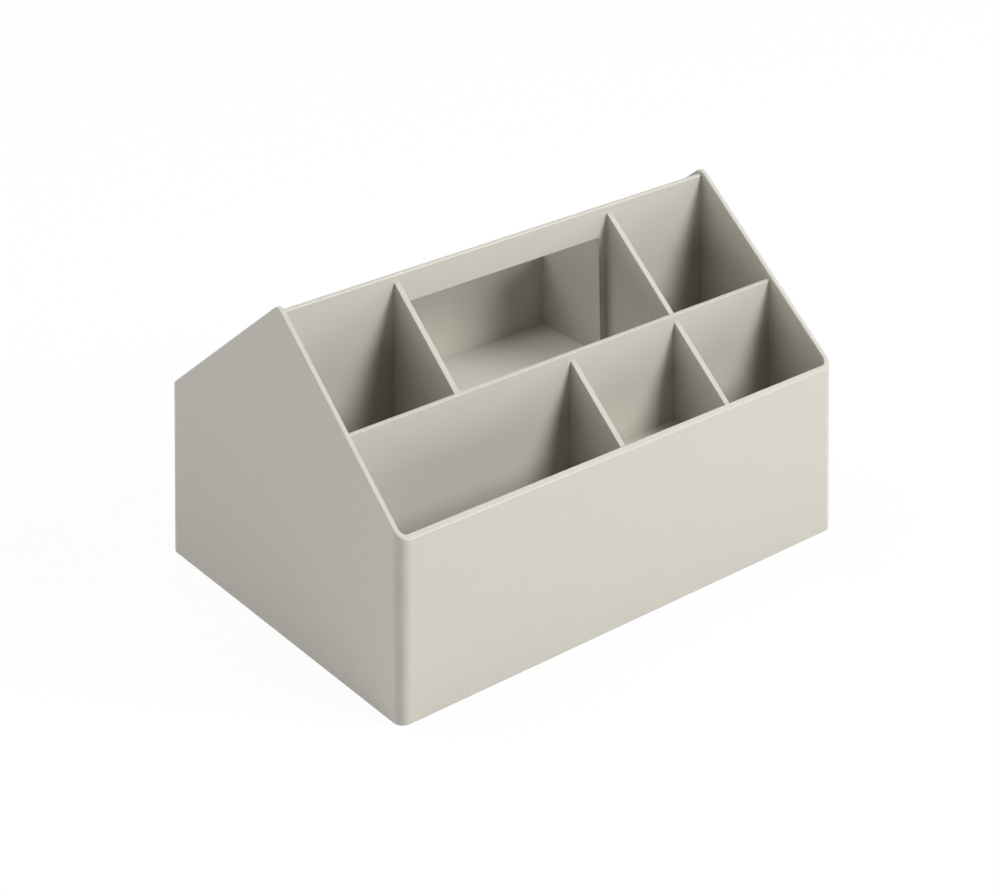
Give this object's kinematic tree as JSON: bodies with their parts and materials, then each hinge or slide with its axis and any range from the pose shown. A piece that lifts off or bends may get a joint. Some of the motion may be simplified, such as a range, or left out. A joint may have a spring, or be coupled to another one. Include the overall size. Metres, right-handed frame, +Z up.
{
  "type": "desk caddy",
  "caption": "Open desk caddy with gabled ends, a carrying handle along the ridge and straight-walled compartments on both slopes, in matte light grey plastic.",
  "frame": {"origin": "on the table, under the middle of the base", "axes": "+X along the length to the right of someone at the front, -Y the front, with the centre divider, and +Z up"},
  "size_m": [0.3508, 0.2476, 0.1963],
  "materials": {
    "shell_plastic": "fine matte moulded",
    "handle_plastic": "fine matte moulded",
    "divider_plastic": "fine matte moulded",
    "foot_rubber": "dull"
  },
  "bodies": {
    "root": {"outer_shell": "shell_plastic", "handle_wall": "handle_plastic", "front_long_divider": "divider_plastic", "rear_long_divider": "divider_plastic", "left_cross_divider": "divider_plastic", "right_cross_divider": "divider_plastic", "front_centre_divider": "divider_plastic", "bay_floor": "divider_plastic", "front_bay_floor": "divider_plastic", "foot_front_left": "foot_rubber", "foot_front_right": "foot_rubber", "foot_rear_left": "foot_rubber", "foot_rear_right": "foot_rubber"}
  },
  "joints": []
}
